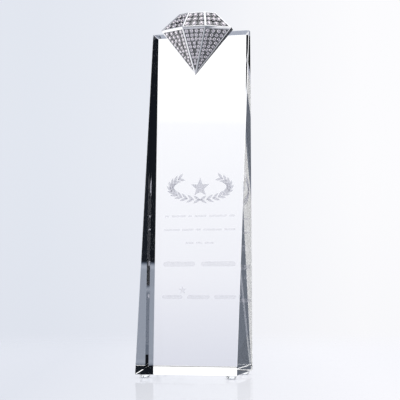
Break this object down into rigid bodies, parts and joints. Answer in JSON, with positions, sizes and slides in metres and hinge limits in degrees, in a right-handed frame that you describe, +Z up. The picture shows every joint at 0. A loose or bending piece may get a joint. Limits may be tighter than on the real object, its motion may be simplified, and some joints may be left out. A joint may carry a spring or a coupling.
{
  "type": "crystal award",
  "caption": "Free-standing wedge of clear crystal on small clear feet, with a stone-set cast metal gem emblem bonded to the top of its sloping front face",
  "frame": {"origin": "on the surface that the award stands on, below the middle of the block's width and depth", "axes": "+Z up, along the height; the front face looks along -Y and leans back; +X is the viewer's right when facing the front"},
  "size_m": [0.0762, 0.0557, 0.2761],
  "materials": {
    "crystal": "clear colourless optical crystal, polished on every face",
    "engraving": "sandblasted frosting on the back face of the crystal",
    "silver_plate": "bright silver-plated casting, lightly textured in the recesses",
    "cut_glass": "clear cut-glass stones, foil backed",
    "foot_polyurethane": "clear soft polyurethane, smooth",
    "adhesive": "clear acrylic adhesive"
  },
  "bodies": {
    "root": {"crystal_block": "crystal", "jewel_casting": "silver_plate", "jewel_adhesive": "adhesive", "foot_front_left": "foot_polyurethane", "foot_front_right": "foot_polyurethane", "foot_rear_left": "foot_polyurethane", "foot_rear_right": "foot_polyurethane", "foot_film_front_left": "adhesive", "foot_film_front_right": "adhesive", "foot_film_rear_left": "adhesive", "foot_film_rear_right": "adhesive", "stone_crown_left_1_1": "cut_glass", "stone_crown_left_1_2": "cut_glass", "stone_crown_left_1_3": "cut_glass", "stone_crown_left_2_1": "cut_glass", "stone_crown_left_2_2": "cut_glass", "stone_crown_left_2_3": "cut_glass", "stone_crown_left_3_1": "cut_glass", "stone_crown_left_3_2": "cut_glass", "stone_crown_centre_1_1": "cut_glass", "stone_crown_centre_1_2": "cut_glass", "stone_crown_centre_1_3": "cut_glass", "stone_crown_centre_2_1": "cut_glass", "stone_crown_centre_2_2": "cut_glass", "stone_crown_centre_2_3": "cut_glass", "stone_crown_centre_3_1": "cut_glass", "stone_crown_centre_3_2": "cut_glass", "stone_crown_centre_3_3": "cut_glass", "stone_crown_right_1_1": "cut_glass", "stone_crown_right_1_2": "cut_glass", "stone_crown_right_1_3": "cut_glass", "stone_crown_right_2_1": "cut_glass", "stone_crown_right_2_2": "cut_glass", "stone_crown_right_2_3": "cut_glass", "stone_crown_right_3_1": "cut_glass", "stone_crown_right_3_2": "cut_glass", "stones_pavilion_left": "cut_glass", "stones_pavilion_centre": "cut_glass", "stones_pavilion_right": "cut_glass"}
  },
  "joints": []
}
